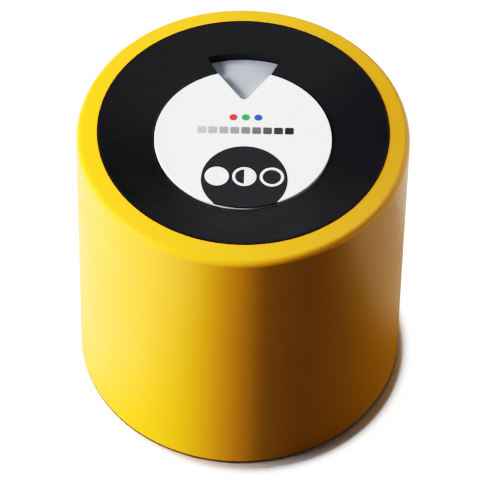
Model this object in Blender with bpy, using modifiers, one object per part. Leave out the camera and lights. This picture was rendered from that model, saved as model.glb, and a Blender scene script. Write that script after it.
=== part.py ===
"""Display colorimeter puck: a painted round housing, a dished black bezel with
a white label disc and a sector-shaped status window on top, a soft contact pad
and the light inlet underneath, and the optics and boards stacked inside.

Metres, +Z up. The origin is the centre of the face it rests on, the window is
on the +Y side and the round badge side of the label faces -Y."""

import bpy
import bmesh
from math import asin, atan2, cos, pi, radians, sin, sqrt
from mathutils import Vector

MM = 0.001

# ---- driving dimensions, in millimetres -------------------------------------
HOUSING_R = 18.0          # outer radius of the puck
HOUSING_WALL = 1.5
HOUSING_Z0 = 0.25         # bottom edge, just above the contact pad's face
RIM_Z = 35.78             # rim where it meets the round of its outer edge
RIM_INNER_Z = 36.08       # rim at its inner edge, from where it falls outwards
RIM_FILLET = 0.8
RIM_INNER_R = 15.74
BEZEL_R = 15.64
BEZEL_EDGE_Z = 36.15      # bezel's outer edge, slightly proud of the rim
POCKET_R = 9.76
POCKET_Z = 34.13
POCKET_EDGE_Z = 34.68
DISC_R = 9.56
DISC_Z = 34.80            # top face of the label disc
DISC_T = 0.57
NOTCH_APEX_Y = 4.6        # sector notch through the bezel
NOTCH_HALF = radians(32.0)
NOTCH_R = 11.83
LABEL_V_APEX_Y = 5.1      # V notch in the label disc
LABEL_V_HALF = radians(35.5)
LABEL_V_TIP_R = 0.55
WINDOW_Z = 34.16
PLATE_Z = 32.6            # underside of the bezel's plate
PAD_R_IN, PAD_R_OUT, PAD_T = 8.75, 15.85, 1.05
COVER_R = 16.7
POST_PCD_R = 11.8         # the three screw posts
POST_AZIMUTHS = (180.0, 60.0, -60.0)
SENSOR_BOARD_Z = 17.0
MAIN_BOARD_Z = 24.0
BOARD_T = 1.0
BOARD_R = 14.6
GLAND_Z = 9.0
GLAND_BORE_R = 1.75
BIG, MID, FINE = 64, 36, 16

# ---- scene ------------------------------------------------------------------
for old in list(bpy.data.objects):
    bpy.data.objects.remove(old, do_unlink=True)

parts = bpy.data.collections.new("display_colorimeter")
cutters = bpy.data.collections.new("cutters")
bpy.context.scene.collection.children.link(parts)
bpy.context.scene.collection.children.link(cutters)

root = bpy.data.objects.new("colorimeter_origin", None)
root.empty_display_size = 0.01
parts.objects.link(root)

materials = {}


def material(name, colour, roughness, metallic=0.0):
    if name in materials:
        return materials[name]
    mat = bpy.data.materials.new(name)
    mat.use_nodes = True
    shader = mat.node_tree.nodes["Principled BSDF"]
    shader.inputs["Base Color"].default_value = (*colour, 1.0)
    shader.inputs["Roughness"].default_value = roughness
    shader.inputs["Metallic"].default_value = metallic
    mat.diffuse_color = (*colour, 1.0)
    materials[name] = mat
    return mat


YELLOW = ("yellow_paint", (0.86, 0.56, 0.07), 0.34)
BLACK = ("black_gloss", (0.012, 0.012, 0.014), 0.28)
BLACK_MATT = ("black_matt", (0.015, 0.015, 0.016), 0.6)
WHITE = ("white_label", (0.88, 0.88, 0.90), 0.45)
GREY_CLEAR = ("grey_window", (0.42, 0.45, 0.52), 0.3)
CLEAR = ("clear_acrylic", (0.80, 0.84, 0.86), 0.08)
GLASS = ("optical_glass", (0.75, 0.82, 0.84), 0.03)
IR_GLASS = ("ir_glass", (0.30, 0.55, 0.58), 0.05)
FILTER = ("filter_glass", (0.45, 0.30, 0.52), 0.06)
SUEDE = ("pad_suede", (0.035, 0.035, 0.038), 0.95)
RUBBER = ("black_rubber", (0.02, 0.02, 0.021), 0.7)
FOAM = ("seal_silicone", (0.05, 0.05, 0.05), 0.9)
BOARD = ("board_green", (0.02, 0.16, 0.07), 0.4)
CHIP = ("chip_black", (0.02, 0.02, 0.022), 0.5)
LED = ("led_lens", (0.85, 0.85, 0.80), 0.25)
NATURAL = ("connector_natural", (0.78, 0.73, 0.60), 0.5)
STEEL = ("screw_steel", (0.55, 0.56, 0.58), 0.3, 1.0)
CAN = ("crystal_can", (0.72, 0.73, 0.74), 0.25, 1.0)
BRASS = ("spacer_brass", (0.78, 0.60, 0.30), 0.3, 1.0)


def link(obj, look=None):
    parts.objects.link(obj)
    obj.parent = root
    if look:
        obj.data.materials.append(material(*look))
    return obj


def bake(obj, sharp=32.0):
    """Replaces the object's mesh with the result of its modifiers."""
    bpy.context.view_layer.update()
    depsgraph = bpy.context.evaluated_depsgraph_get()
    mesh = bpy.data.meshes.new_from_object(obj.evaluated_get(depsgraph))
    mesh.name = obj.name
    obj.modifiers.clear()
    obj.data = mesh
    mesh.shade_smooth()
    mesh.set_sharp_from_angle(angle=radians(sharp))
    return obj


def arc(cx, cz, r, a0, a1, n):
    """Points on an arc, angles in degrees from +X towards +Z."""
    out = []
    for i in range(n + 1):
        a = radians(a0 + (a1 - a0) * i / n)
        out.append((cx + r * cos(a), cz + r * sin(a)))
    return out


def turned(name, profile, look, steps=BIG, ring=True, location=(0, 0, 0), rotation=(0, 0, 0)):
    """A profile of (radius, height) in millimetres, turned about Z. It runs
    outwards along the top, down the outer side and back inwards; a ring's
    profile closes on itself, a solid's starts and ends on the axis."""
    mesh = bpy.data.meshes.new(name)
    bm = bmesh.new()
    verts = [bm.verts.new((r * MM, 0.0, z * MM)) for r, z in profile]
    for a, b in zip(verts, verts[1:]):
        bm.edges.new((a, b))
    if ring:
        bm.edges.new((verts[-1], verts[0]))
    bm.to_mesh(mesh)
    bm.free()
    obj = bpy.data.objects.new(name, mesh)
    link(obj, look)
    screw = obj.modifiers.new("turn", "SCREW")
    screw.axis = "Z"
    screw.angle = 2 * pi
    screw.steps = steps
    screw.render_steps = steps
    screw.use_merge_vertices = True
    screw.merge_threshold = 0.000002
    screw.use_normal_calculate = False
    obj.location = Vector(location) * MM
    obj.rotation_euler = rotation
    return bake(obj)


def block(name, size, centre, look, bevel=0.0):
    mesh = bpy.data.meshes.new(name)
    bm = bmesh.new()
    bmesh.ops.create_cube(bm, size=1.0)
    bmesh.ops.scale(bm, vec=Vector(size) * MM, verts=bm.verts)
    bm.to_mesh(mesh)
    bm.free()
    obj = bpy.data.objects.new(name, mesh)
    link(obj, look)
    obj.location = Vector(centre) * MM
    if bevel:
        mod = obj.modifiers.new("edge", "BEVEL")
        mod.width = bevel * MM
        mod.segments = 1
        mod.limit_method = "ANGLE"
        return bake(obj)
    return obj


def rod(name, r, z0, z1, look=None, at=(0.0, 0.0), steps=FINE, direction="Z"):
    """A plain round bar; with direction Y, z0 and z1 are its ends along Y and
    `at` is its (x, z)."""
    mesh = bpy.data.meshes.new(name)
    bm = bmesh.new()
    bmesh.ops.create_cone(bm, cap_ends=True, segments=steps, radius1=r * MM,
                          radius2=r * MM, depth=(z1 - z0) * MM)
    bm.to_mesh(mesh)
    bm.free()
    obj = bpy.data.objects.new(name, mesh)
    link(obj, look)
    mid = (z0 + z1) / 2
    if direction == "Y":
        obj.rotation_euler = (-pi / 2, 0, 0)
        obj.location = Vector((at[0], mid, at[1])) * MM
    else:
        obj.location = Vector((at[0], at[1], mid)) * MM
    return obj


def flat(name, outline, z0, z1, look=None):
    """A flat outline of (x, y) in millimetres, extruded from z0 to z1."""
    curve = bpy.data.curves.new(name + "_outline", "CURVE")
    curve.dimensions = "2D"
    curve.fill_mode = "BOTH"
    curve.extrude = (z1 - z0) / 2 * MM
    spline = curve.splines.new("POLY")
    spline.points.add(len(outline) - 1)
    for point, (x, y) in zip(spline.points, outline):
        point.co = (x * MM, y * MM, 0.0, 1.0)
    spline.use_cyclic_u = True
    guide = bpy.data.objects.new(name + "_guide", curve)
    parts.objects.link(guide)
    guide.location = (0, 0, (z0 + z1) / 2 * MM)
    bpy.context.view_layer.update()
    depsgraph = bpy.context.evaluated_depsgraph_get()
    mesh = bpy.data.meshes.new_from_object(guide.evaluated_get(depsgraph))
    mesh.name = name
    mesh.materials.clear()
    bm = bmesh.new()
    bm.from_mesh(mesh)
    bmesh.ops.remove_doubles(bm, verts=bm.verts, dist=0.000001)
    bmesh.ops.recalc_face_normals(bm, faces=bm.faces)
    bm.to_mesh(mesh)
    bm.free()
    obj = bpy.data.objects.new(name, mesh)
    link(obj, look)
    obj.location = guide.location
    bpy.data.objects.remove(guide, do_unlink=True)
    bpy.data.curves.remove(curve)
    return obj


def combine(obj, others, operation, sharp=32.0):
    """Joins the others to the object, or cuts them out of it, and keeps them
    as hidden wire cutters."""
    for other in others:
        for owner in list(other.users_collection):
            owner.objects.unlink(other)
        cutters.objects.link(other)
        other.hide_render = True
        other.display_type = "WIRE"
        mod = obj.modifiers.new(operation.lower(), "BOOLEAN")
        mod.operation = operation
        mod.solver = "EXACT"
        mod.object = other
    bake(obj, sharp)
    for other in others:
        other.hide_set(True)
    return obj


def around(r, azimuth):
    a = radians(azimuth)
    return r * sin(a), r * cos(a)


def sector(apex_y, half, r_arc, inset=0.0, tip=0.0, arc_steps=14, tip_steps=6):
    """Outline of a V with its apex on +Y, closed by an arc about the centre.
    A positive inset shrinks it; a tip radius rounds the apex."""
    y0 = apex_y + inset / sin(half)
    radius = r_arc - inset
    # where the right side meets the arc
    b = y0 * cos(half)
    t = -b + sqrt(b * b + radius * radius - y0 * y0)
    x1, y1 = t * sin(half), y0 + t * cos(half)
    a1 = atan2(x1, y1)
    points = []
    if tip > 0:
        centre = y0 + tip / sin(half)
        span = pi / 2 - half
        for i in range(tip_steps + 1):
            a = -span + 2 * span * i / tip_steps
            points.append((tip * sin(a), centre - tip * cos(a)))
    else:
        points.append((0.0, y0))
    for i in range(arc_steps + 1):
        a = a1 - 2 * a1 * i / arc_steps
        points.append((radius * sin(a), radius * cos(a)))
    return points


# ---- housing ----------------------------------------------------------------
inner = HOUSING_R - HOUSING_WALL
housing = turned("outer_housing", [
    (RIM_INNER_R + 0.10, RIM_INNER_Z),
    *arc(HOUSING_R - RIM_FILLET, RIM_Z - RIM_FILLET, RIM_FILLET, 78, 0, 5),
    (HOUSING_R, HOUSING_Z0 + 0.12),
    (HOUSING_R - 0.12, HOUSING_Z0),
    (COVER_R + 0.2, HOUSING_Z0),
    (COVER_R + 0.2, 3.0),
    (14.4, 3.0),
    (14.4, 4.2),
    (inner, 4.2),
    (inner, 29.9),
    (15.2, 30.9),
    (15.2, 31.2),
    (RIM_INNER_R, 31.2),
    (RIM_INNER_R, RIM_INNER_Z - 0.10),
], YELLOW)
combine(housing, [
    rod("gland_hole", 3.15, 14.6, 20.0, at=(0, GLAND_Z), direction="Y", steps=24),
    rod("gland_spotface", 4.35, 17.1, 20.0, at=(0, GLAND_Z), direction="Y", steps=24),
], "DIFFERENCE")

# ---- top: bezel, label disc, window -----------------------------------------
bezel = turned("top_bezel", [
    (0.0, POCKET_Z),
    (POCKET_R, POCKET_Z),
    (POCKET_R, POCKET_EDGE_Z - 0.05),
    (POCKET_R + 0.08, POCKET_EDGE_Z),
    (BEZEL_R - 0.30, BEZEL_EDGE_Z),
    (BEZEL_R - 0.08, BEZEL_EDGE_Z - 0.04),
    (BEZEL_R, BEZEL_EDGE_Z - 0.18),
    (BEZEL_R, 31.85),
    (14.3, 31.85),
    (14.3, PLATE_Z),
    (0.0, PLATE_Z),
], BLACK, ring=False)
combine(bezel, [flat("bezel_notch", sector(NOTCH_APEX_Y, NOTCH_HALF, NOTCH_R), 31.0, 37.0)],
        "DIFFERENCE")

turned("bezel_gasket", [(15.25, 31.72), (15.66, 31.72), (15.66, 31.32), (15.25, 31.32)], FOAM, steps=MID)

disc = turned("label_disc", [
    (0.0, DISC_Z),
    (DISC_R - 0.06, DISC_Z),
    (DISC_R, DISC_Z - 0.06),
    (DISC_R, DISC_Z - DISC_T),
    (0.0, DISC_Z - DISC_T),
], WHITE, ring=False)
combine(disc, [flat("label_notch", sector(LABEL_V_APEX_Y, LABEL_V_HALF, 14.0, tip=LABEL_V_TIP_R),
                    33.0, 36.0)], "DIFFERENCE")

window = flat("status_window", sector(NOTCH_APEX_Y, NOTCH_HALF, NOTCH_R, inset=0.1),
              32.3, WINDOW_Z, GREY_CLEAR)
combine(window, [flat("window_flange", sector(NOTCH_APEX_Y, NOTCH_HALF, NOTCH_R, inset=-0.7),
                      31.9, 32.45)], "UNION")

guide = block("light_guide", (5.4, 3.4, 4.6), (0, 8.7, 29.4), CLEAR)
combine(guide, [
    block("guide_leg_left", (1.0, 2.4, 3.6), (-3.1, 8.7, 26.95), None),
    block("guide_leg_right", (1.0, 2.4, 3.6), (3.1, 8.7, 26.95), None),
    block("guide_yoke", (7.2, 2.4, 1.4), (0, 8.7, 28.05), None),
], "UNION")

# ---- base: cover, pad, glass ------------------------------------------------
cover = turned("base_cover", [
    (5.6, 2.85),
    (COVER_R, 2.85),
    (COVER_R, 0.75),
    (PAD_R_OUT + 0.25, 0.75),
    (PAD_R_OUT + 0.25, 1.15),
    (PAD_R_IN - 0.25, 1.15),
    (PAD_R_IN - 0.25, 0.45),
    (PAD_R_IN - 0.35, 0.35),
    (6.75, 0.35),
    (6.75, 2.25),
    (5.6, 2.25),
], BLACK_MATT, steps=MID)
holes = []
for i, az in enumerate(POST_AZIMUTHS):
    at = around(POST_PCD_R, az)
    holes.append(rod(f"cover_hole_{i + 1}", 1.0, 0.5, 3.5, at=at, steps=14))
    holes.append(rod(f"cover_counterbore_{i + 1}", 2.0, 0.6, 1.95, at=at, steps=14))
combine(cover, holes, "DIFFERENCE")

turned("contact_pad", [
    (PAD_R_IN, PAD_T), (PAD_R_OUT, PAD_T), (PAD_R_OUT, 0.15), (PAD_R_OUT - 0.15, 0.0),
    (PAD_R_IN + 0.15, 0.0), (PAD_R_IN, 0.15),
], SUEDE, steps=MID)
turned("glass_retaining_ring", [
    (5.75, 1.3), (6.6, 1.3), (6.6, 0.5), (6.2, 0.5), (5.75, 0.8),
], BLACK_MATT, steps=MID)
turned("front_glass", [
    (0.0, 2.15), (6.4, 2.15), (6.55, 2.0), (6.55, 1.55), (6.4, 1.4), (0.0, 1.4),
], GLASS, steps=MID, ring=False)
turned("light_seal", [(8.3, 4.15), (10.6, 4.15), (10.6, 3.0), (8.3, 3.0)], FOAM, steps=MID)

# ---- optics chassis and what it holds ---------------------------------------
chassis = turned("optics_chassis", [
    (5.9, 15.6), (7.3, 15.6), (7.3, 5.8), (14.1, 5.8), (14.1, 4.35),
    (7.3, 4.35), (7.3, 3.1), (4.8, 3.1), (4.8, 4.1), (5.9, 4.1),
], BLACK_MATT, steps=MID)
joined = [
    turned("chassis_rim", [(13.6, 5.8), (15.0, 5.8), (15.0, 4.35), (13.6, 4.35)], None, steps=MID),
    block("cord_saddle", (9.0, 3.4, 3.7), (0, 11.7, 6.85), None),
]
joined += [rod(f"post_{i + 1}", 2.3, 5.0, 16.9, at=around(POST_PCD_R, az))
           for i, az in enumerate(POST_AZIMUTHS)]
combine(chassis, joined, "UNION")
drilled = [rod(f"post_hole_{i + 1}", 0.85, 3.8, 17.5, at=around(POST_PCD_R, az), steps=12)
           for i, az in enumerate(POST_AZIMUTHS)]
drilled.append(rod("saddle_groove", GLAND_BORE_R, 9.0, 15.4, at=(0, GLAND_Z), direction="Y", steps=16))
drilled += [rod(f"saddle_hole_{i + 1}", 0.6, 6.2, 9.2, at=(x, 11.7), steps=8)
            for i, x in enumerate((-3.3, 3.3))]
combine(chassis, drilled, "DIFFERENCE")


def cap(base_r, height, z, n=6):
    """Points of a spherical cap, from its top on the axis down to its base."""
    big = (base_r * base_r + height * height) / (2 * height)
    a_end = asin(base_r / big)
    return [(big * sin(a_end * i / n), z - big + height + big * cos(a_end * i / n))
            for i in range(n + 1)]


turned("objective_lens", [*cap(5.0, 1.6, 5.3), (5.7, 5.3), (5.7, 4.25), (0.0, 4.25)],
       GLASS, steps=24, ring=False)
turned("lens_spacer", [(5.15, 8.25), (5.7, 8.25), (5.7, 5.45), (5.15, 5.45)], BLACK_MATT, steps=24)
turned("aperture_stop", [(1.7, 8.75), (5.7, 8.75), (5.7, 8.35), (2.1, 8.35)], BLACK_MATT, steps=24)
turned("field_lens", [*cap(5.0, 1.1, 9.85), (5.7, 9.85), (5.7, 8.9), (0.0, 8.9)],
       GLASS, steps=24, ring=False)
turned("filter_spacer", [(5.15, 11.4), (5.7, 11.4), (5.7, 10.0), (5.15, 10.0)], BLACK_MATT, steps=24)
turned("ir_filter", [(0.0, 12.5), (5.7, 12.5), (5.7, 11.5), (0.0, 11.5)], IR_GLASS, steps=24, ring=False)
turned("colour_filter", [(0.0, 13.4), (5.7, 13.4), (5.7, 12.6), (0.0, 12.6)], FILTER, steps=24, ring=False)
turned("filter_retainer", [(4.2, 15.0), (5.75, 15.0), (5.75, 13.5), (4.2, 13.5)], BLACK_MATT, steps=24)

# ---- boards -----------------------------------------------------------------
def board(name, z):
    obj = turned(name, [(0.0, z + BOARD_T), (BOARD_R, z + BOARD_T), (BOARD_R, z), (0.0, z)],
                 BOARD, steps=MID, ring=False)
    cuts = [rod(f"{name}_hole_{i + 1}", 0.95, z - 0.5, z + BOARD_T + 0.5,
                at=around(POST_PCD_R, az), steps=12) for i, az in enumerate(POST_AZIMUTHS)]
    cuts.append(block(f"{name}_lead_notch", (5.0, 3.6, 3.0), (0, BOARD_R, z + 0.5), None))
    return combine(obj, cuts, "DIFFERENCE")


board("sensor_board", SENSOR_BOARD_Z)
block("sensor_chip", (5.2, 5.2, 1.15), (0, 0, 16.33), CHIP, bevel=0.12)
board("main_board", MAIN_BOARD_Z)
top = MAIN_BOARD_Z + BOARD_T
block("header_socket", (7.6, 2.4, 2.8), (0, -4.5, 19.5), BLACK_MATT, bevel=0.15)
block("header_plug", (7.0, 2.0, 2.85), (0, -4.5, 22.5), BLACK_MATT, bevel=0.15)
block("microcontroller", (7.0, 7.0, 1.0), (-5.0, -1.6, top + 0.6), CHIP, bevel=0.12)
block("memory_chip", (4.9, 3.9, 1.2), (3.4, -4.4, top + 0.7), CHIP, bevel=0.12)
block("crystal_can", (3.2, 1.6, 0.9), (-5.6, -7.6, top + 0.55), CAN, bevel=0.12)
block("status_led_1", (1.6, 1.6, 0.8), (-1.2, 8.7, top + 0.5), LED, bevel=0.1)
block("status_led_2", (1.6, 1.6, 0.8), (1.2, 8.7, top + 0.5), LED, bevel=0.1)

socket = block("lead_socket", (4.6, 7.4, 4.0), (8.8, -3.4, top + 2.1), NATURAL)
combine(socket, [block("socket_mouth", (4.0, 5.8, 2.4), (10.2, -3.4, top + 2.2), None)], "DIFFERENCE")

for i, az in enumerate(POST_AZIMUTHS):
    x, y = around(POST_PCD_R, az)
    turned(f"board_spacer_{i + 1}", [(1.05, 5.75), (2.1, 5.75), (2.1, 0.0), (1.05, 0.0)],
           BRASS, steps=FINE, location=(x, y, SENSOR_BOARD_Z + BOARD_T + 0.12))


def screw(name, x, y, z, shank_r, shank_l, head_r, head_h, up=True):
    """A pan-head screw: its head's bearing face is at z, with the shank below
    it, or above it when up is False. A hex recess drives it."""
    head = [(0.0, head_h), (head_r * 0.72, head_h), (head_r, head_h * 0.55), (head_r, 0.0)]
    shank = [(shank_r, 0.0), (shank_r, -shank_l + 0.4), (shank_r * 0.45, -shank_l), (0.0, -shank_l)]
    obj = turned(name, head + shank, STEEL, steps=12, ring=False, location=(x, y, z),
                 rotation=(0, 0, 0) if up else (pi, 0, 0))
    sign = 1 if up else -1
    recess = rod(name + "_recess", head_r * 0.42, z + sign * head_h * 0.45,
                 z + sign * (head_h + 0.5), at=(x, y), steps=6) if up else \
        rod(name + "_recess", head_r * 0.42, z - head_h - 0.5, z - head_h * 0.45, at=(x, y), steps=6)
    return combine(obj, [recess], "DIFFERENCE")


for i, az in enumerate(POST_AZIMUTHS):
    x, y = around(POST_PCD_R, az)
    screw(f"board_screw_{i + 1}", x, y, top + 0.12, 0.7, 13.6, 1.6, 1.05)
    screw(f"base_screw_{i + 1}", x, y, 1.85, 0.7, 7.2, 1.75, 0.62, up=False)

# ---- cord gland and the clamp behind it --------------------------------------
turned("cord_gland", [
    (GLAND_BORE_R, 18.0), (3.7, 18.0), (4.0, 17.9), (4.1, 17.65), (4.1, 17.2),
    (3.0, 17.2), (3.0, 15.85), (3.9, 15.85), (3.9, 15.2), (GLAND_BORE_R, 15.2),
], RUBBER, steps=24, location=(0, 0, GLAND_Z), rotation=(-pi / 2, 0, 0))
clamp = block("cord_clamp", (9.0, 3.4, 2.3), (0, 11.7, 10.45), BLACK_MATT, bevel=0.2)
combine(clamp, [
    rod("clamp_groove", GLAND_BORE_R, 9.0, 15.0, at=(0, GLAND_Z), direction="Y", steps=16),
    rod("clamp_hole_1", 0.6, 9.0, 12.0, at=(-3.3, 11.7), steps=8),
    rod("clamp_hole_2", 0.6, 9.0, 12.0, at=(3.3, 11.7), steps=8),
], "DIFFERENCE")
for i, x in enumerate((-3.3, 3.3)):
    screw(f"clamp_screw_{i + 1}", x, 11.7, 11.7, 0.42, 4.9, 1.0, 0.75)
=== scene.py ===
from math import asin, atan2, cos, pi, radians, sin, sqrt, tan

import bmesh
import bpy
from mathutils import Matrix, Vector


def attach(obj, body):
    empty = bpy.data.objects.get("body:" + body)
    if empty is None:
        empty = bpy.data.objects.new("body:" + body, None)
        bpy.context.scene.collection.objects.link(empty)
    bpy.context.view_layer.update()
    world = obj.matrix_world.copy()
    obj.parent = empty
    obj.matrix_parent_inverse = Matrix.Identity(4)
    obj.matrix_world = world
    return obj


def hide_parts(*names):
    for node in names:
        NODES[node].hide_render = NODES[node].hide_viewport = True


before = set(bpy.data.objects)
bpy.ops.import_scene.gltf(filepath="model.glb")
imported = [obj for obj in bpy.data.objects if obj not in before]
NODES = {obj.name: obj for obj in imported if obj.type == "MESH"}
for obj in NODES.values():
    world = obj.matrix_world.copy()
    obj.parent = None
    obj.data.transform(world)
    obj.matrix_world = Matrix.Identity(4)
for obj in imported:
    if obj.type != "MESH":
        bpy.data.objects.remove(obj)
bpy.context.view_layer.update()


MM = 0.001

# ---------------------------------------------------------------------------
# sizes, in millimetres, the same as the CAD solids
# ---------------------------------------------------------------------------
HOUSING_R = 18.0
HOUSING_Z0 = 0.25
RIM_Z = 35.78
RIM_INNER_Z = 36.08
RIM_FILLET = 0.8
RIM_INNER_R = 15.74
BEZEL_R = 15.64
BEZEL_EDGE_Z = 36.15
POCKET_R = 9.76
POCKET_Z = 34.13
POCKET_EDGE_Z = 34.68
DISC_R = 9.56
DISC_Z = 34.80
DISC_T = 0.57
NOTCH_APEX_Y = 4.6
NOTCH_HALF = radians(32.0)
NOTCH_R = 11.83
LABEL_V_APEX_Y = 5.1
LABEL_V_HALF = radians(35.5)
LABEL_V_TIP_R = 0.55
WINDOW_Z = 34.16
PLATE_Z = 32.6
GLAND_Z = 9.0
ROUND = 256


# ---------------------------------------------------------------------------
# mesh helpers
# ---------------------------------------------------------------------------
def link(obj):
    bpy.context.scene.collection.objects.link(obj)
    return obj


def arc(cx, cz, r, a0, a1, n):
    return [(cx + r * cos(radians(a0 + (a1 - a0) * i / n)),
             cz + r * sin(radians(a0 + (a1 - a0) * i / n))) for i in range(n + 1)]


def eased(profile, radius, closed, n=3):
    """Rounds every corner of a profile with a small radius."""
    out = []
    count = len(profile)
    for i, p in enumerate(profile):
        if not closed and i in (0, count - 1):
            out.append(p)
            continue
        a, b = profile[i - 1], profile[(i + 1) % count]
        va = (a[0] - p[0], a[1] - p[1])
        vb = (b[0] - p[0], b[1] - p[1])
        la, lb = sqrt(va[0] ** 2 + va[1] ** 2), sqrt(vb[0] ** 2 + vb[1] ** 2)
        if la < 1e-9 or lb < 1e-9:
            continue
        turn = (va[0] * vb[0] + va[1] * vb[1]) / (la * lb)
        if turn < -0.94:
            out.append(p)
            continue
        r = min(radius, la * 0.45, lb * 0.45)
        pa = (p[0] + va[0] / la * r, p[1] + va[1] / la * r)
        pb = (p[0] + vb[0] / lb * r, p[1] + vb[1] / lb * r)
        for k in range(n + 1):
            t = k / n
            out.append(((1 - t) ** 2 * pa[0] + 2 * t * (1 - t) * p[0] + t * t * pb[0],
                        (1 - t) ** 2 * pa[1] + 2 * t * (1 - t) * p[1] + t * t * pb[1]))
    return out


def held(profile, closed, d=0.03):
    """Adds a point beside each end of a long run, so that a small round next to
    it does not tilt the shading of the whole face."""
    out = []
    count = len(profile)
    for i, p in enumerate(profile):
        out.append(p)
        if i == count - 1 and not closed:
            break
        q = profile[(i + 1) % count]
        length = sqrt((q[0] - p[0]) ** 2 + (q[1] - p[1]) ** 2)
        if length > 12 * d:
            u = ((q[0] - p[0]) / length * d, (q[1] - p[1]) / length * d)
            if p[0] > 0.01:
                out.append((p[0] + u[0], p[1] + u[1]))
            if q[0] > 0.01:
                out.append((q[0] - u[0], q[1] - u[1]))
    return out


def lathe(name, profile, closed=True, steps=ROUND, centre=(0, 0, 0), along_y=False,
          ease=0.0, wobble=None):
    """Turns a profile of (radius, height) about Z, or about Y. The profile runs
    outwards along the top and down the outer side."""
    if ease:
        profile = eased(profile, ease, closed)
    profile = held(profile, closed)
    bm = bmesh.new()
    rings = []
    for k, (r, z) in enumerate(profile):
        if r < 1e-6:
            rings.append([bm.verts.new((0, 0, z * MM))])
            continue
        ring = []
        for i in range(steps):
            a = 2 * pi * i / steps
            rr, zz = (r, z) if wobble is None else wobble(r, z, a)
            ring.append(bm.verts.new((rr * MM * cos(a), rr * MM * sin(a), zz * MM)))
        rings.append(ring)
    pairs = list(zip(rings, rings[1:]))
    if closed:
        pairs.append((rings[-1], rings[0]))
    for a, b in pairs:
        if len(a) == 1 and len(b) == 1:
            continue
        for i in range(steps):
            j = (i + 1) % steps
            if len(a) == 1:
                bm.faces.new((a[0], b[i], b[j]))
            elif len(b) == 1:
                bm.faces.new((a[i], b[0], a[j]))
            else:
                bm.faces.new((a[i], b[i], b[j], a[j]))
    bmesh.ops.recalc_face_normals(bm, faces=bm.faces)
    if along_y:
        bmesh.ops.rotate(bm, verts=bm.verts, cent=(0, 0, 0), matrix=Matrix.Rotation(-pi / 2, 3, "X"))
    bmesh.ops.translate(bm, verts=bm.verts, vec=Vector(centre) * MM)
    mesh = bpy.data.meshes.new(name)
    bm.to_mesh(mesh)
    bm.free()
    return link(bpy.data.objects.new(name, mesh))


def slab(name, outline, z0, z1, bevel=0.0, segments=2):
    """A flat outline of (x, y) made into a plate between z0 and z1, its top
    edge eased when a bevel is given."""
    bm = bmesh.new()
    bottom = [bm.verts.new((x * MM, y * MM, z0 * MM)) for x, y in outline]
    top = [bm.verts.new((x * MM, y * MM, z1 * MM)) for x, y in outline]
    bm.faces.new(list(reversed(bottom)))
    cap = bm.faces.new(top)
    n = len(outline)
    for i in range(n):
        j = (i + 1) % n
        bm.faces.new((bottom[i], bottom[j], top[j], top[i]))
    bmesh.ops.recalc_face_normals(bm, faces=bm.faces)
    if bevel:
        bmesh.ops.bevel(bm, geom=list(cap.edges), offset=bevel * MM, segments=segments,
                        profile=0.5, affect="EDGES", clamp_overlap=True)
    mesh = bpy.data.meshes.new(name)
    bm.to_mesh(mesh)
    bm.free()
    return link(bpy.data.objects.new(name, mesh))


def baked(obj):
    bpy.context.view_layer.update()
    graph = bpy.context.evaluated_depsgraph_get()
    mesh = bpy.data.meshes.new_from_object(obj.evaluated_get(graph))
    obj.modifiers.clear()
    obj.data = mesh
    return obj


def cut(obj, *tools, operation="DIFFERENCE"):
    for tool in tools:
        mod = obj.modifiers.new("cut", "BOOLEAN")
        mod.operation = operation
        mod.solver = "EXACT"
        mod.object = tool
        baked(obj)
        bpy.data.objects.remove(tool, do_unlink=True)
    return obj


def edge_bevel(obj, width, segments=2, angle=40.0):
    mod = obj.modifiers.new("edge", "BEVEL")
    mod.width = width * MM
    mod.segments = segments
    mod.limit_method = "ANGLE"
    mod.angle_limit = radians(angle)
    mod.use_clamp_overlap = True
    mod.loop_slide = False
    return baked(obj)


def smooth(obj, angle=32.0):
    obj.data.shade_smooth()
    obj.data.set_sharp_from_angle(angle=radians(angle))
    return obj


def around(r, azimuth):
    a = radians(azimuth)
    return r * sin(a), r * cos(a)


def rounded(outline, radius, n=5):
    """Rounds the sharp corners of a closed outline, leaving its smooth runs."""
    out = []
    count = len(outline)
    for i, p in enumerate(outline):
        a, b = outline[i - 1], outline[(i + 1) % count]
        va = (a[0] - p[0], a[1] - p[1])
        vb = (b[0] - p[0], b[1] - p[1])
        la, lb = sqrt(va[0] ** 2 + va[1] ** 2), sqrt(vb[0] ** 2 + vb[1] ** 2)
        if (va[0] * vb[0] + va[1] * vb[1]) / (la * lb) < -0.9:
            out.append(p)
            continue
        r = min(radius, la * 0.45, lb * 0.45)
        pa = (p[0] + va[0] / la * r, p[1] + va[1] / la * r)
        pb = (p[0] + vb[0] / lb * r, p[1] + vb[1] / lb * r)
        for k in range(n + 1):
            t = k / n
            out.append(((1 - t) ** 2 * pa[0] + 2 * t * (1 - t) * p[0] + t * t * pb[0],
                        (1 - t) ** 2 * pa[1] + 2 * t * (1 - t) * p[1] + t * t * pb[1]))
    return out


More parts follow.
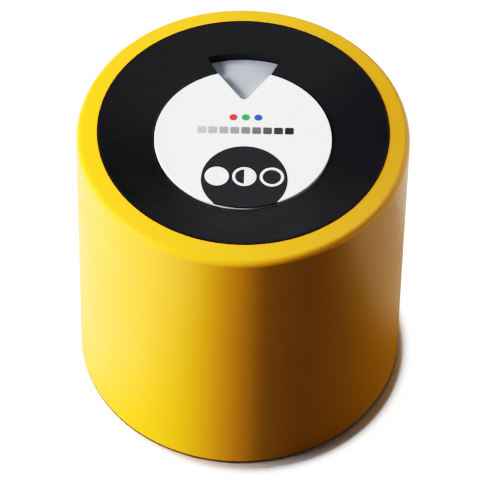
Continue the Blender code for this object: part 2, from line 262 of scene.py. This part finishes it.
def sector(apex_y, half, r_arc, inset=0.0, tip=0.0, corner=0.0, arc_steps=24, tip_steps=10):
    """Outline of a V with its apex on +Y, closed by an arc about the centre."""
    y0 = apex_y + inset / sin(half)
    radius = r_arc - inset
    b = y0 * cos(half)
    t = -b + sqrt(b * b + radius * radius - y0 * y0)
    a1 = atan2(t * sin(half), y0 + t * cos(half))
    points = []
    if tip > 0:
        centre = y0 + tip / sin(half)
        span = pi / 2 - half
        for i in range(tip_steps + 1):
            a = -span + 2 * span * i / tip_steps
            points.append((tip * sin(a), centre - tip * cos(a)))
    else:
        points.append((0.0, y0))
    # the corner's flank is kept straight, with a small round where it meets the arc
    shrink = corner / radius
    edge = []
    for i in range(arc_steps + 1):
        a = (a1 - shrink) * (1 - 2 * i / arc_steps)
        edge.append((radius * sin(a), radius * cos(a)))
    if corner:
        side = (a1, t - corner)
        px, py = (t - corner) * sin(half), y0 + (t - corner) * cos(half)
        qx, qy = t * sin(half), y0 + t * cos(half)
        bend = []
        for k in range(4):
            u = k / 4
            bend.append(((1 - u) ** 2 * px + 2 * u * (1 - u) * qx + u * u * edge[0][0],
                         (1 - u) ** 2 * py + 2 * u * (1 - u) * qy + u * u * edge[0][1]))
        points += bend + edge + [(-x, y) for x, y in reversed(bend)]
    else:
        points += edge
    return points


# ---------------------------------------------------------------------------
# materials: procedural, in object coordinates
# ---------------------------------------------------------------------------
class Look:
    """A Principled material with its node tree at hand."""

    def __init__(self, name, colour, roughness, metallic=0.0):
        self.mat = bpy.data.materials.new(name)
        self.mat.use_nodes = True
        self.tree = self.mat.node_tree
        self.shader = self.tree.nodes["Principled BSDF"]
        self.colour = colour
        self.roughness = roughness
        self.set("Base Color", (*colour, 1.0))
        self.set("Roughness", roughness)
        self.set("Metallic", metallic)
        coord = self.tree.nodes.new("ShaderNodeTexCoord")
        self.coord = coord.outputs["Object"]
        self.height = None

    def set(self, socket, value):
        self.shader.inputs[socket].default_value = value
        return self

    def node(self, kind, **values):
        n = self.tree.nodes.new(kind)
        for key, value in values.items():
            if key in n.inputs:
                n.inputs[key].default_value = value
            else:
                setattr(n, key, value)
        return n

    def wire(self, a, b):
        self.tree.links.new(a, b)

    def mapped(self, scale=(1, 1, 1)):
        m = self.node("ShaderNodeMapping")
        m.inputs["Scale"].default_value = scale
        self.wire(self.coord, m.inputs["Vector"])
        return m.outputs["Vector"]

    def noise(self, scale, detail=4.0, rough=0.55, stretch=(1, 1, 1), distortion=0.0):
        n = self.node("ShaderNodeTexNoise")
        n.inputs["Scale"].default_value = scale
        n.inputs["Detail"].default_value = detail
        n.inputs["Roughness"].default_value = rough
        n.inputs["Distortion"].default_value = distortion
        self.wire(self.mapped(stretch), n.inputs["Vector"])
        return n.outputs["Fac"]

    def ranged(self, value, low, high, f0=0.35, f1=0.65):
        r = self.node("ShaderNodeMapRange")
        self.wire(value, r.inputs["Value"])
        r.inputs["From Min"].default_value = f0
        r.inputs["From Max"].default_value = f1
        r.inputs["To Min"].default_value = low
        r.inputs["To Max"].default_value = high
        return r.outputs["Result"]

    def tint(self, value, a, b):
        m = self.node("ShaderNodeMix", data_type="RGBA")
        self.wire(value, m.inputs["Factor"])
        m.inputs["A"].default_value = (*a, 1.0)
        m.inputs["B"].default_value = (*b, 1.0)
        return m.outputs["Result"]

    def vary_roughness(self, value, spread):
        out = self.ranged(value, self.roughness - spread, self.roughness + spread)
        self.wire(out, self.shader.inputs["Roughness"])
        return self

    def vary_colour(self, value, amount):
        a = tuple(c * (1 - amount) for c in self.colour)
        b = tuple(min(1.0, c * (1 + amount)) for c in self.colour)
        out = self.tint(self.ranged(value, 0, 1), a, b)
        self.wire(out, self.shader.inputs["Base Color"])
        return self

    def bump(self, value, distance, strength=1.0):
        b = self.node("ShaderNodeBump")
        b.inputs["Strength"].default_value = strength
        b.inputs["Distance"].default_value = distance * MM
        self.wire(value, b.inputs["Height"])
        if self.height is not None:
            self.wire(self.height, b.inputs["Normal"])
        self.height = b.outputs["Normal"]
        self.wire(self.height, self.shader.inputs["Normal"])
        return self

    def wave(self, scale, stretch=(1, 1, 1), direction="Z", kind="BANDS"):
        w = self.node("ShaderNodeTexWave", wave_type=kind)
        if kind == "BANDS":
            w.bands_direction = direction
        else:
            w.rings_direction = direction
        w.inputs["Scale"].default_value = scale
        self.wire(self.mapped(stretch), w.inputs["Vector"])
        return w.outputs["Fac"]

    def voronoi(self, scale, feature="F1", stretch=(1, 1, 1)):
        v = self.node("ShaderNodeTexVoronoi", feature=feature)
        v.inputs["Scale"].default_value = scale
        self.wire(self.mapped(stretch), v.inputs["Vector"])
        return v.outputs["Distance"]


def yellow_paint():
    look = Look("yellow_paint", (0.865, 0.352, 0.009), 0.40)
    look.set("Coat Weight", 0.08).set("Coat Roughness", 0.28).set("Specular IOR Level", 0.36)
    look.vary_colour(look.noise(55, 3), 0.012)
    look.vary_roughness(look.noise(160, 4), 0.03)
    look.bump(look.noise(2600, 2, 0.5), 0.0012)
    look.bump(look.noise(240, 2, 0.4), 0.0020)
    return look.mat


def black_gloss():
    look = Look("black_gloss", (0.0058, 0.0058, 0.0070), 0.30)
    look.set("Specular IOR Level", 0.38)
    look.vary_roughness(look.noise(300, 4), 0.04)
    look.vary_colour(look.noise(120, 3), 0.12)
    look.bump(look.noise(5200, 2, 0.6), 0.0012)
    return look.mat


def black_matt(name="black_matt", colour=(0.016, 0.016, 0.017), rough=0.62):
    look = Look(name, colour, rough)
    look.vary_roughness(look.noise(400, 4), 0.07)
    look.vary_colour(look.noise(180, 3), 0.15)
    look.bump(look.voronoi(3800), 0.006)
    look.bump(look.noise(900, 3), 0.004)
    return look.mat


def white_label():
    look = Look("white_label", (0.90, 0.90, 0.915), 0.42)
    look.set("Coat Weight", 0.10).set("Coat Roughness", 0.3)
    look.vary_colour(look.noise(130, 3), 0.006)
    look.vary_roughness(look.noise(380, 4), 0.05)
    look.bump(look.noise(4200, 3, 0.6), 0.0008)
    return look.mat


def ink(name, colour, rough=0.38):
    look = Look(name, colour, rough)
    look.vary_roughness(look.noise(700, 4), 0.05)
    look.vary_colour(look.noise(900, 3), 0.03)
    look.bump(look.noise(5000, 3), 0.0008)
    return look.mat


def grey_window():
    look = Look("grey_window", (0.335, 0.365, 0.42), 0.30)
    look.set("Subsurface Weight", 0.5).set("Subsurface Radius", (0.6, 0.62, 0.7))
    look.set("Subsurface Scale", 0.9 * MM)
    look.set("Coat Weight", 0.3).set("Coat Roughness", 0.12)
    look.vary_colour(look.noise(70, 3), 0.03)
    look.vary_roughness(look.noise(420, 3), 0.04)
    look.bump(look.noise(3000, 2), 0.001)
    return look.mat


def clear(name, colour, rough=0.04, ior=1.49, weight=1.0):
    look = Look(name, colour, rough)
    look.set("Transmission Weight", weight).set("IOR", ior)
    look.vary_roughness(look.noise(300, 3), min(rough, 0.02))
    look.bump(look.noise(1500, 2), 0.0006)
    return look.mat


def suede():
    look = Look("pad_suede", (0.030, 0.030, 0.033), 0.95)
    look.set("Sheen Weight", 0.6).set("Sheen Roughness", 0.5)
    look.vary_colour(look.noise(700, 5, 0.7), 0.35)
    look.bump(look.noise(4200, 5, 0.75), 0.05)
    look.bump(look.noise(520, 3, 0.6), 0.05)
    return look.mat


def rubber(name="black_rubber"):
    look = Look(name, (0.018, 0.018, 0.019), 0.62)
    look.vary_roughness(look.noise(500, 4), 0.08)
    look.vary_colour(look.noise(200, 3), 0.2)
    look.bump(look.noise(2400, 4, 0.65), 0.008)
    return look.mat


def metal(name, colour, rough, stretch=(1, 1, 1), scale=900):
    look = Look(name, colour, rough, 1.0)
    look.vary_roughness(look.noise(scale, 4, 0.6, stretch), 0.08)
    look.vary_colour(look.noise(260, 3), 0.04)
    look.bump(look.noise(scale * 2, 3, 0.6, stretch), 0.002)
    return look.mat


def circuit_board():
    look = Look("board_green", (0.012, 0.12, 0.045), 0.34)
    look.set("Coat Weight", 0.4).set("Coat Roughness", 0.15)
    tracks = look.ranged(look.wave(420, (1, 1, 0), "DIAGONAL"), 0, 1, 0.72, 0.78)
    look.wire(look.tint(tracks, (0.010, 0.105, 0.04), (0.02, 0.17, 0.07)), look.shader.inputs["Base Color"])
    look.vary_roughness(look.noise(500, 3), 0.05)
    look.bump(tracks, 0.01)
    return look.mat


def moulded(name, colour, rough, depth=0.004):
    look = Look(name, colour, rough)
    look.vary_roughness(look.noise(420, 4), 0.06)
    look.vary_colour(look.noise(240, 3), 0.06)
    look.bump(look.noise(2600, 4, 0.6), depth)
    return look.mat


YELLOW = yellow_paint()
BLACK = black_gloss()
MATT = black_matt()
WHITE = white_label()
WINDOW = grey_window()
ACRYLIC = clear("clear_acrylic", (0.92, 0.95, 0.96), 0.05, 1.49)
GLASS = clear("optical_glass", (0.93, 0.97, 0.96), 0.01, 1.52)
LENS = clear("lens_glass", (0.86, 0.90, 0.96), 0.01, 1.62)
IR = clear("ir_glass", (0.45, 0.78, 0.80), 0.01, 1.52)
FILTER = clear("filter_glass", (0.62, 0.40, 0.72), 0.01, 1.52)
SUEDE = suede()
RUBBER = rubber()
SEAL = rubber("seal_silicone")
BOARD = circuit_board()
CHIP = moulded("chip_black", (0.018, 0.018, 0.020), 0.5)
LED = moulded("led_lens", (0.82, 0.82, 0.74), 0.25, 0.002)
NYLON = moulded("connector_natural", (0.66, 0.60, 0.45), 0.5)
STEEL = metal("screw_steel", (0.50, 0.51, 0.53), 0.3)
CAN = metal("crystal_can", (0.68, 0.69, 0.70), 0.25)
BRASS = metal("spacer_brass", (0.72, 0.50, 0.20), 0.28, (1, 1, 12))
INK_BLACK = ink("ink_black", (0.012, 0.012, 0.014), 0.36)
INK_WHITE = ink("ink_white", (0.86, 0.86, 0.87), 0.42)


def dress(obj, mat, body="root", replaces=()):
    obj.data.materials.clear()
    obj.data.materials.append(mat)
    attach(obj, body)
    if replaces:
        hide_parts(*replaces)
    return obj


# ---------------------------------------------------------------------------
# the housing: a painted tube with a flat rim and a small round on its edge
# ---------------------------------------------------------------------------
inner = HOUSING_R - 1.5
profile = [
    (RIM_INNER_R + 0.01, RIM_INNER_Z - 0.01), (RIM_INNER_R + 0.06, RIM_INNER_Z),
    *arc(HOUSING_R - RIM_FILLET, RIM_Z - RIM_FILLET, RIM_FILLET, 78, 0, 14),
    (HOUSING_R, 26.0), (HOUSING_R, 12.0),
    (HOUSING_R, HOUSING_Z0 + 0.12), (HOUSING_R - 0.035, HOUSING_Z0 + 0.035),
    (HOUSING_R - 0.12, HOUSING_Z0), (16.95, HOUSING_Z0), (16.9, HOUSING_Z0 + 0.05),
    (16.9, 3.0), (14.4, 3.0), (14.4, 4.2), (inner, 4.2), (inner, 29.9), (15.2, 30.9),
    (15.2, 31.2), (RIM_INNER_R, 31.2), (RIM_INNER_R, RIM_INNER_Z - 0.04),
]
housing = lathe("housing_shell", profile)
cut(housing,
    lathe("hole", [(0, 20.0), (3.15, 20.0), (3.15, 14.6), (0, 14.6)], closed=False, steps=96,
          centre=(0, 0, GLAND_Z), along_y=True),
    lathe("spot", [(0, 20.0), (4.35, 20.0), (4.35, 17.1), (0, 17.1)], closed=False, steps=96,
          centre=(0, 0, GLAND_Z), along_y=True))
smooth(housing, 30)
dress(housing, YELLOW, replaces=["outer_housing"])

# ---------------------------------------------------------------------------
# the dished bezel, with the sector notch through it
# ---------------------------------------------------------------------------
profile = [
    (0.0, POCKET_Z), (POCKET_R - 0.05, POCKET_Z), (POCKET_R, POCKET_Z + 0.05),
    (POCKET_R, POCKET_EDGE_Z - 0.06), (POCKET_R + 0.03, POCKET_EDGE_Z - 0.015),
    (POCKET_R + 0.10, POCKET_EDGE_Z),
]
for i in range(1, 12):
    t = i / 12
    r = POCKET_R + 0.10 + (BEZEL_R - 0.20 - POCKET_R - 0.10) * t
    z = POCKET_EDGE_Z + (BEZEL_EDGE_Z - 0.015 - POCKET_EDGE_Z) * t
    profile.append((r, z))
profile += [
    (BEZEL_R - 0.16, BEZEL_EDGE_Z - 0.005), (BEZEL_R - 0.08, BEZEL_EDGE_Z),
    (BEZEL_R + 0.05, BEZEL_EDGE_Z - 0.005),
    (BEZEL_R + 0.05, 32.2), (BEZEL_R, 32.1), (BEZEL_R, 31.9), (BEZEL_R - 0.05, 31.85), (14.3, 31.85), (14.3, PLATE_Z), (0.0, PLATE_Z),
]
bezel = lathe("bezel", profile, closed=False)
cut(bezel, slab("notch", sector(NOTCH_APEX_Y, NOTCH_HALF, NOTCH_R, corner=0.28, arc_steps=40),
                31.0, 37.0))
smooth(bezel, 30)
dress(bezel, BLACK, replaces=["top_bezel"])

# ---------------------------------------------------------------------------
# the label disc with its V notch
# ---------------------------------------------------------------------------
disc = lathe("label", [
    (0.0, DISC_Z), (4.0, DISC_Z), (8.0, DISC_Z), (DISC_R - 0.07, DISC_Z),
    (DISC_R - 0.02, DISC_Z - 0.02), (DISC_R, DISC_Z - 0.07),
    (DISC_R, DISC_Z - DISC_T), (0.0, DISC_Z - DISC_T)], closed=False)
cut(disc, slab("v", sector(LABEL_V_APEX_Y, LABEL_V_HALF, 14.0, tip=LABEL_V_TIP_R, tip_steps=20),
               33.0, 36.0))
smooth(disc, 25)
dress(disc, WHITE, replaces=["label_disc"])

# ---------------------------------------------------------------------------
# generic printed marks, as thin films on the disc
# ---------------------------------------------------------------------------
FILM = 0.012


def circle_points(cx, cy, r, n=96):
    return [(cx + r * cos(2 * pi * i / n), cy + r * sin(2 * pi * i / n)) for i in range(n)]


def badge_outline(cx, cy, r, limit, n=180):
    """A circle clipped to a given radius about the disc's centre."""
    out = []
    for i in range(n):
        a = 2 * pi * i / n
        x, y = cx + r * cos(a), cy + r * sin(a)
        d = sqrt(x * x + y * y)
        if d > limit:
            x, y = x * limit / d, y * limit / d
        out.append((x, y))
    return out


def film(name, outline, mat, layer=0, depth=0.004):
    obj = slab(name, outline, DISC_Z + FILM * layer - depth, DISC_Z + FILM * (layer + 1))
    smooth(obj, 30)
    return dress(obj, mat)


def ring_film(name, cx, cy, r_out, r_in, mat, layer):
    z0, z1 = DISC_Z + FILM * layer - 0.004, DISC_Z + FILM * (layer + 1)
    obj = lathe(name, [(r_in, z1), (r_out, z1), (r_out, z0), (r_in, z0)], steps=96, centre=(cx, cy, 0))
    smooth(obj, 30)
    return dress(obj, mat)


BADGE = (0.2, -5.75)
# the round print runs over the disc's edge, as the photograph shows
film("badge_print", badge_outline(BADGE[0], BADGE[1], 4.66, DISC_R + 0.012), INK_BLACK, 0, 0.17)
# three round signs: full, half and empty
icon_y, icon_r, pitch = -5.35, 1.28, 2.95
cx = BADGE[0]
film("sign_full", circle_points(cx - pitch, icon_y, icon_r), INK_WHITE, 1)
ring_film("sign_half_ring", cx, icon_y, icon_r, icon_r - 0.27, INK_WHITE, 1)
half = [(cx + (icon_r - 0.22) * cos(radians(-90 + 180 * i / 40)),
         icon_y + (icon_r - 0.22) * sin(radians(-90 + 180 * i / 40))) for i in range(41)]
film("sign_half", half, INK_WHITE, 1)
ring_film("sign_empty_ring", cx + pitch, icon_y, icon_r, icon_r - 0.27, INK_WHITE, 1)

# a grey step wedge, light to dark, and three colour dots over it
steps_n, size, gap = 9, 0.98, 0.20
width = steps_n * size + (steps_n - 1) * gap
for i in range(steps_n):
    level = 0.36 * (1 - i / (steps_n - 1)) ** 1.5 + 0.014
    x0 = 0.25 - width / 2 + i * (size + gap)
    y0 = 0.62
    box = rounded([(x0, y0), (x0 + size, y0), (x0 + size, y0 + size), (x0, y0 + size)], 0.16)
    film(f"wedge_step_{i + 1}", box, ink(f"ink_grey_{i + 1}", (level, level, level * 1.04)), 0)
for i, (name, colour) in enumerate((("red", (0.60, 0.035, 0.03)), ("green", (0.03, 0.26, 0.07)),
                                    ("blue", (0.03, 0.06, 0.36)))):
    film(f"dot_{name}", circle_points(0.25 + (i - 1) * 1.35, 2.95, 0.46, 48), ink(f"ink_{name}", colour), 0)

# ---------------------------------------------------------------------------
# the status window and what lies under it
# ---------------------------------------------------------------------------
window = slab("window_plate", sector(NOTCH_APEX_Y, NOTCH_HALF, NOTCH_R, inset=0.06, corner=0.26, arc_steps=40),
              32.35, WINDOW_Z, bevel=0.05)
flange = slab("flange", sector(NOTCH_APEX_Y, NOTCH_HALF, NOTCH_R, inset=-0.7, corner=0.3, arc_steps=40),
              31.9, 32.45)
cut(window, flange, operation="UNION")
smooth(window, 30)
dress(window, WINDOW, replaces=["status_window"])

# ---------------------------------------------------------------------------
# the underside: cover, contact pad, inlet glass and its ring
# ---------------------------------------------------------------------------
cover = lathe("cover", [
    (5.6, 2.85), (16.7, 2.85), (16.7, 0.75), (16.1, 0.75), (16.1, 1.15), (8.5, 1.15),
    (8.5, 0.38), (6.75, 0.38), (6.75, 2.25), (5.6, 2.25)], steps=192, ease=0.10)
tools = []
for az in (180.0, 60.0, -60.0):
    x, y = around(11.8, az)
    tools.append(lathe("t", [(0, 3.5), (1.0, 3.5), (1.0, 1.94), (2.0, 1.94), (2.0, 0.6), (0, 0.6)],
                       closed=False, steps=48, centre=(x, y, 0)))
cut(cover, *tools)
smooth(cover, 30)
dress(cover, MATT, replaces=["base_cover"])


def plush(r, z, a):
    """The pad's edge isn't quite even."""
    k = 0.02 * sin(17 * a) + 0.015 * sin(41 * a + 1.3) + 0.01 * sin(71 * a + 0.4)
    mid = (r - 12.3) / 3.55
    return r - abs(k) * (1 if mid > 0.9 else -1 if mid < -0.9 else 0), z


pad_profile = [(8.78, 1.05), (15.82, 1.05), (15.85, 1.0), (15.85, 0.30)]
pad_profile += arc(15.60, 0.25, 0.25, 0, -90, 6)
pad_profile += [(14.0, 0.0), (12.3, 0.0), (10.5, 0.0)]
pad_profile += arc(9.0, 0.25, 0.25, -90, -180, 6)
pad_profile += [(8.75, 0.30), (8.75, 1.0)]
pad = lathe("soft_contact_ring", pad_profile, steps=240, wobble=plush)
smooth(pad, 40)
dress(pad, SUEDE, replaces=["contact_pad"])

ring = lathe("inlet_ring", [(5.75, 1.3), (6.6, 1.3), (6.6, 0.5), (6.25, 0.5), (6.1, 0.62), (5.95, 0.62),
                            (5.75, 0.86)], steps=192, ease=0.05)
smooth(ring, 35)
dress(ring, MATT, replaces=["glass_retaining_ring"])
glass = lathe("inlet_glass", [(0.0, 2.15), (6.42, 2.15), (6.55, 2.02), (6.55, 1.53), (6.42, 1.4), (0.0, 1.4)],
              closed=False, steps=128)
smooth(glass, 25)
dress(glass, GLASS, replaces=["front_glass"])


def cap(base_r, height, z, n=20):
    big = (base_r * base_r + height * height) / (2 * height)
    a_end = asin(base_r / big)
    return [(big * sin(a_end * i / n), z - big + height + big * cos(a_end * i / n)) for i in range(n + 1)]


for name, node, height, z, low in (("front_lens", "objective_lens", 1.6, 5.3, 4.25),
                                   ("rear_lens", "field_lens", 1.1, 9.85, 8.9)):
    lens = lathe(name, [*cap(5.0, height, z), (5.6, z), (5.7, z - 0.1), (5.7, low + 0.1), (5.6, low), (0.0, low)],
                 closed=False, steps=128)
    smooth(lens, 28)
    dress(lens, LENS, replaces=[node])


spacer = [(5.15, 8.25), (5.7, 8.25), (5.7, 5.45), (5.15, 5.45)]
for k in range(5):
    z = 5.75 + k * 0.48
    spacer += [(5.15, z), (5.32, z + 0.16), (5.15, z + 0.32)]
barrel = lathe("baffle_tube", spacer, steps=128)
smooth(barrel, 25)
dress(barrel, MATT, replaces=["lens_spacer"])
stop = lathe("stop_plate", [(1.7, 8.75), (5.7, 8.75), (5.7, 8.35), (2.1, 8.35)], steps=128, ease=0.04)
smooth(stop, 25)
dress(stop, MATT, replaces=["aperture_stop"])

# ---------------------------------------------------------------------------
# the cord gland, with shallow grip rings on its collar
# ---------------------------------------------------------------------------
gland_profile = [(1.75, 17.8), (1.95, 18.0), (3.55, 18.0), *arc(3.75, 17.65, 0.35, 90, 0, 6),
                 (4.1, 17.52), (4.02, 17.46), (4.1, 17.40), (4.1, 17.22), (4.05, 17.2),
                 (3.0, 17.2), (3.0, 15.85), (3.9, 15.85), (3.9, 15.2), (1.75, 15.2)]
gland = lathe("gland", gland_profile, steps=128, centre=(0, 0, GLAND_Z), along_y=True, ease=0.05)
smooth(gland, 40)
dress(gland, RUBBER, replaces=["cord_gland"])

# ---------------------------------------------------------------------------
# finishes for the pieces carried over from the CAD model
# ---------------------------------------------------------------------------
FINISH = {
    "bezel_gasket": SEAL, "light_seal": SEAL, "light_guide": ACRYLIC,
    "optics_chassis": MATT, "filter_spacer": MATT, "filter_retainer": MATT,
    "ir_filter": IR, "colour_filter": FILTER,
    "sensor_board": BOARD, "main_board": BOARD, "sensor_chip": CHIP,
    "header_socket": MATT, "header_plug": MATT, "microcontroller": CHIP, "memory_chip": CHIP,
    "crystal_can": CAN, "status_led_1": LED, "status_led_2": LED, "lead_socket": NYLON,
    "board_spacer_1": BRASS, "board_spacer_2": BRASS, "board_spacer_3": BRASS,
    "board_screw_1": STEEL, "board_screw_2": STEEL, "board_screw_3": STEEL,
    "base_screw_1": STEEL, "base_screw_2": STEEL, "base_screw_3": STEEL,
    "clamp_screw_1": STEEL, "clamp_screw_2": STEEL, "cord_clamp": MATT,
}
for name, mat in FINISH.items():
    mesh = NODES[name].data
    mesh.materials.clear()
    mesh.materials.append(mat)

# ---------------------------------------------------------------------------
# floor, lights, camera
# ---------------------------------------------------------------------------
def plane(name, albedo, z):
    bm = bmesh.new()
    bmesh.ops.create_grid(bm, x_segments=4, y_segments=4, size=3.0)
    mesh = bpy.data.meshes.new(name)
    bm.to_mesh(mesh)
    bm.free()
    obj = link(bpy.data.objects.new(name, mesh))
    obj.location = (0, 0, z)
    mat = bpy.data.materials.new(name)
    mat.use_nodes = True
    tree = mat.node_tree
    tree.nodes.clear()
    out = tree.nodes.new("ShaderNodeOutputMaterial")
    diffuse = tree.nodes.new("ShaderNodeBsdfDiffuse")
    diffuse.inputs["Color"].default_value = (albedo, albedo, albedo, 1.0)
    tree.links.new(diffuse.outputs[0], out.inputs["Surface"])
    obj.data.materials.append(mat)
    return obj


# the floor that is seen, and a dimmer one that lights the object and shows in
# its gloss
floor = plane("floor", 1.5, 0.0)
floor.visible_diffuse = False
floor.visible_glossy = False
floor.visible_shadow = False
bounce = plane("floor_bounce", 0.07, -0.00002)
bounce.visible_camera = False
bounce.visible_glossy = False
sheen = plane("floor_reflection", 0.04, -0.00001)
sheen.visible_camera = False
sheen.visible_diffuse = False
sheen.visible_shadow = False


def painted_floor_light(obj):
    """Painted light on the reflection floor: paler patches to the left and behind the
    right side stand in for the floor lit by the lamps, and show only in the paint's gloss."""
    tree = obj.data.materials[0].node_tree
    diffuse = next(n for n in tree.nodes if n.type == "BSDF_DIFFUSE")
    coord = tree.nodes.new("ShaderNodeTexCoord")
    split = tree.nodes.new("ShaderNodeSeparateXYZ")
    tree.links.new(coord.outputs["Object"], split.inputs[0])
    total = tree.nodes.new("ShaderNodeMath")
    tree.links.new(split.outputs["X"], total.inputs[0])
    tree.links.new(split.outputs["Y"], total.inputs[1])
    levels = []
    # painted pools of light: one patch to the left, one behind the right side
    for value, f0, f1, low, high in ((split.outputs["X"], -0.013, -0.022, 0.04, 0.60),
                                     (total.outputs[0], 0.019, 0.028, 0.04, 1.20)):
        r = tree.nodes.new("ShaderNodeMapRange")
        tree.links.new(value, r.inputs["Value"])
        r.inputs["From Min"].default_value = f0
        r.inputs["From Max"].default_value = f1
        r.inputs["To Min"].default_value = low
        r.inputs["To Max"].default_value = high
        levels.append(r.outputs["Result"])
    most = tree.nodes.new("ShaderNodeMath")
    most.operation = "MAXIMUM"
    tree.links.new(levels[0], most.inputs[0])
    tree.links.new(levels[1], most.inputs[1])
    tree.links.new(most.outputs[0], diffuse.inputs["Color"])


# painted pools of light on the reflection floor, seen only in the paint's gloss
painted_floor_light(sheen)

# an even, dim studio round the object, white where the camera sees past it
world = bpy.data.worlds.new("studio")
bpy.context.scene.world = world
world.use_nodes = True
tree = world.node_tree
tree.nodes.clear()
out = tree.nodes.new("ShaderNodeOutputWorld")
mix = tree.nodes.new("ShaderNodeMixShader")
path = tree.nodes.new("ShaderNodeLightPath")
dim = tree.nodes.new("ShaderNodeBackground")
dim.inputs["Strength"].default_value = 0.031
white = tree.nodes.new("ShaderNodeBackground")
white.inputs["Strength"].default_value = 4.0
for back in (dim, white):
    back.inputs["Color"].default_value = (1, 1, 1, 1)
tree.links.new(path.outputs["Is Camera Ray"], mix.inputs[0])
tree.links.new(dim.outputs[0], mix.inputs[1])
tree.links.new(white.outputs[0], mix.inputs[2])
tree.links.new(mix.outputs[0], out.inputs["Surface"])


def softbox(name, azimuth, elevation, distance, width, height, power, colour=(1, 1, 1), aim=(0, 0, 0.018)):
    """A rectangular light. Azimuth is measured from the front (-Y) towards the
    right (+X), so the left side is negative."""
    a, e = radians(azimuth), radians(elevation)
    direction = Vector((sin(a) * cos(e), -cos(a) * cos(e), sin(e)))
    data = bpy.data.lights.new(name, "AREA")
    data.shape = "RECTANGLE"
    data.size, data.size_y = width, height
    data.energy = power
    data.color = colour
    light = link(bpy.data.objects.new(name, data))
    light.location = Vector(aim) + direction * distance
    light.rotation_euler = direction.to_track_quat("Z", "Y").to_euler()
    return light


LIGHTS = [
    ("key_side", -95, 18, 0.60, 0.20, 0.30, 6.40, (1, 1, 1)),
    ("key_edge_1", -95, 20, 0.60, 0.06, 0.30, 2.40, (1, 1, 1)),
    ("key_edge_2", -80, 22, 0.60, 0.06, 0.30, 5.10, (1, 1, 1)),
    ("key_edge_3", -66, 22, 0.60, 0.06, 0.20, 0.75, (1, 1, 1)),
    ("front_fill", -35, 25, 0.60, 0.20, 0.30, 0.08, (1, 1, 1)),
    ("right_rim", 115, 18, 0.60, 0.15, 0.30, 0.40, (1, 1, 1)),
    ("right_back", 134, 12, 0.60, 0.26, 0.30, 0.46, (1, 1, 1)),
    ("back_card", 180, 20, 0.60, 0.50, 0.14, 0.16, (1, 1, 1)),
    ("overhead", 135, 76, 0.60, 0.70, 0.70, 0.76, (1, 1, 1)),
    ("right_high", 105, 50, 0.60, 0.20, 0.20, 0.50, (1, 1, 1)),
]
# the studio lights are for the object; the floor that is seen has one light of
# its own, so that it stays white and darkens only where the two nearly touch
object_only = bpy.data.collections.new("all_but_floor")
object_only.objects.link(floor)
object_only.collection_objects[0].light_linking.link_state = "EXCLUDE"
floor_only = bpy.data.collections.new("floor_only")
floor_only.objects.link(floor)
for args in LIGHTS:
    light = softbox(*args)
    light.light_linking.receiver_collection = object_only
    # the three strongest give the paint its shade but not a glare on the flat top
    light.visible_glossy = args[0] not in ("key_side", "key_edge_1", "key_edge_2")


def wash(name, azimuth, elevation, spread, strength):
    """A parallel light for the floor that is seen."""
    a, e = radians(azimuth), radians(elevation)
    direction = Vector((sin(a) * cos(e), -cos(a) * cos(e), sin(e)))
    data = bpy.data.lights.new(name, "SUN")
    data.energy = strength
    data.angle = radians(spread)
    light = link(bpy.data.objects.new(name, data))
    light.rotation_euler = direction.to_track_quat("Z", "Y").to_euler()
    light.location = direction * 0.5
    light.light_linking.receiver_collection = floor_only


wash("floor_wash", -140, 87.4, 2.0, 3.95)
wash("floor_soft", -125, 82.0, 14.0, 2.15)

EL, DIST, ROLL, F_PX = radians(51.35), 0.4960, 0.0190, 4482.8
forward = Vector((0, cos(EL), -sin(EL)))
up = Vector((0, sin(EL), cos(EL)))
right = Vector((1, 0, 0))
centre = Vector((0, 0, 18.095 * MM))
offset = right * (0.80 / F_PX * DIST) - up * (6.70 / F_PX * DIST)
eye = centre - forward * DIST + offset
cam_up = up * cos(ROLL) - right * sin(ROLL)
cam_right = right * cos(ROLL) + up * sin(ROLL)
data = bpy.data.cameras.new("camera")
data.sensor_width = 36.0
data.lens = F_PX / 484 * 36.0
data.clip_start = 0.01
data.clip_end = 20
camera = link(bpy.data.objects.new("camera", data))
camera.matrix_world = Matrix((
    (cam_right.x, cam_up.x, -forward.x, eye.x),
    (cam_right.y, cam_up.y, -forward.y, eye.y),
    (cam_right.z, cam_up.z, -forward.z, eye.z),
    (0, 0, 0, 1)))
bpy.context.scene.camera = camera
bpy.context.scene.view_settings.view_transform = "Standard"
bpy.context.scene.view_settings.look = "None"

# a photographic tone curve: a toe that deepens the shadows and a soft shoulder
TONE = [(0.0, 0.0), (0.005, 0.0018), (0.015, 0.0068), (0.04, 0.0290), (0.09, 0.0960),
        (0.175, 0.2169), (0.30, 0.3791), (0.45, 0.5236), (0.65, 0.6474), (1.0, 0.7778),
        (1.6, 0.93), (2.2, 1.0)]
view = bpy.context.scene.view_settings
view.use_curve_mapping = True
curves = view.curve_mapping
curves.use_clip = False
curves.clip_max_x = 4.0
curves.clip_max_y = 4.0
curve = curves.curves[3]
curve.points[0].location = TONE[0]
curve.points[1].location = TONE[-1]
for x, y in TONE[1:-1]:
    curve.points.new(x, y)
for point in curve.points:
    point.handle_type = "AUTO_CLAMPED"
curves.update()
